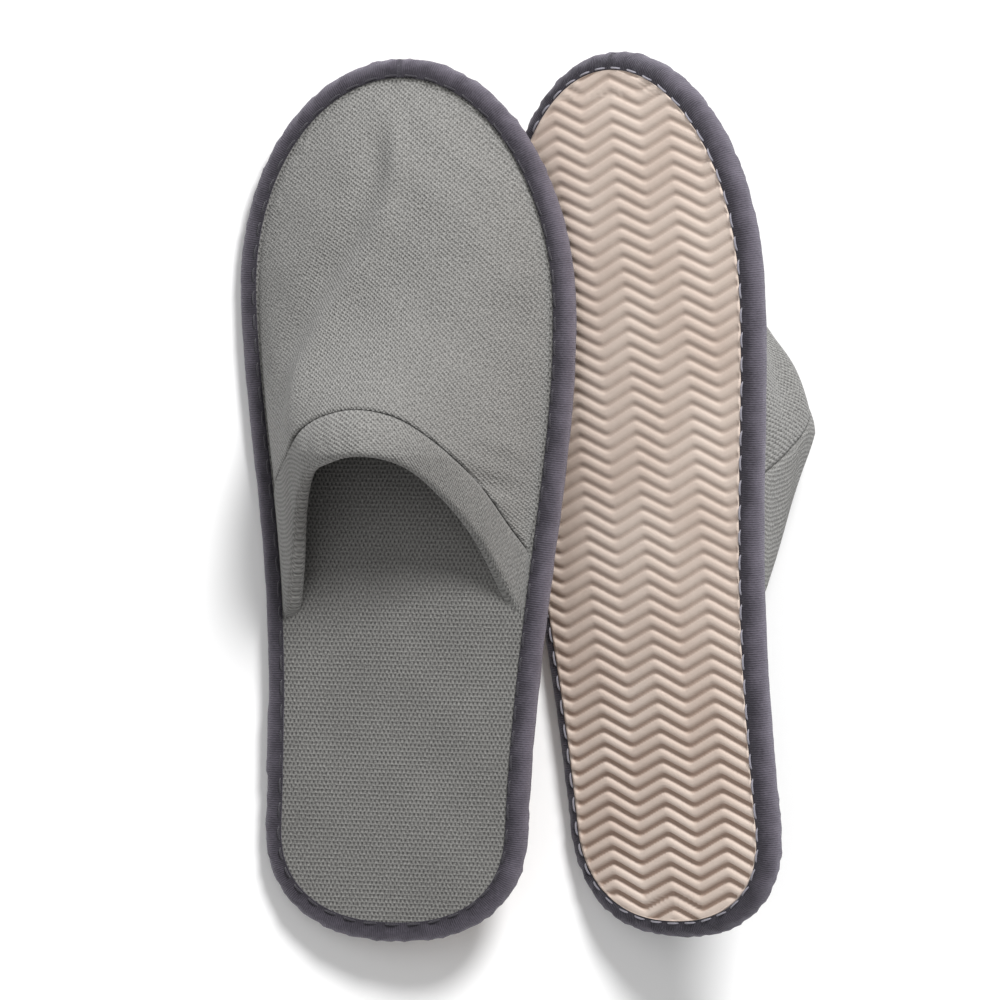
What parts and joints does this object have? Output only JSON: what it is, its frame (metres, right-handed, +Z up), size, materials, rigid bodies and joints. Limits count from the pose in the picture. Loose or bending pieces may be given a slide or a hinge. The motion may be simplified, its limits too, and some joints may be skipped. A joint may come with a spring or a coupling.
{
  "type": "spa slippers",
  "caption": "Pair of closed-toe, open-heel padded spa slippers with a knit upper, a taped rim and a zigzag-tread foam sole, one face up and one sole up.",
  "frame": {"origin": "centre of the pair's bounding box, at the level of the surface that it lies on", "axes": "+Z up; +Y along both slippers towards the toes, the longest extent; +X from the left slipper to the right one"},
  "size_m": [0.1876, 0.291, 0.0856],
  "materials": {
    "sole_foam_rubber": "matt moulded EVA foam rubber with a zigzag tread",
    "soft_foam": "soft open-cell foam",
    "footbed_knit": "fine grey knit with rows of small pin dots",
    "upper_knit": "grey looped knit",
    "lining_fabric": "plain grey brushed lining",
    "hem_knit": "grey looped knit, folded double",
    "binding_tape": "woven polyester tape, purple-grey, slight sheen",
    "grey_thread": "spun thread",
    "dark_thread": "spun thread",
    "pale_thread": "spun thread"
  },
  "bodies": {
    "right_slipper": {"right_outsole": "sole_foam_rubber", "right_insole_foam": "soft_foam", "right_insole_cover": "footbed_knit", "right_upper_outer": "upper_knit", "right_upper_foam": "soft_foam", "right_upper_lining": "lining_fabric", "right_throat_hem": "hem_knit", "right_hem_stitch": "grey_thread", "right_edge_binding": "binding_tape", "right_edge_stitch_top": "dark_thread", "right_edge_stitch_bottom": "pale_thread"},
    "left_slipper": {"left_outsole": "sole_foam_rubber", "left_insole_foam": "soft_foam", "left_insole_cover": "footbed_knit", "left_upper_outer": "upper_knit", "left_upper_foam": "soft_foam", "left_upper_lining": "lining_fabric", "left_throat_hem": "hem_knit", "left_hem_stitch": "grey_thread", "left_edge_binding": "binding_tape", "left_edge_stitch_top": "dark_thread", "left_edge_stitch_bottom": "pale_thread"}
  },
  "joints": [
    {"name": "lift_off", "type": "slide", "parent": "right_slipper", "child": "left_slipper", "axis": [0, 0, 1], "range_m": [0, 0.12]}
  ]
}
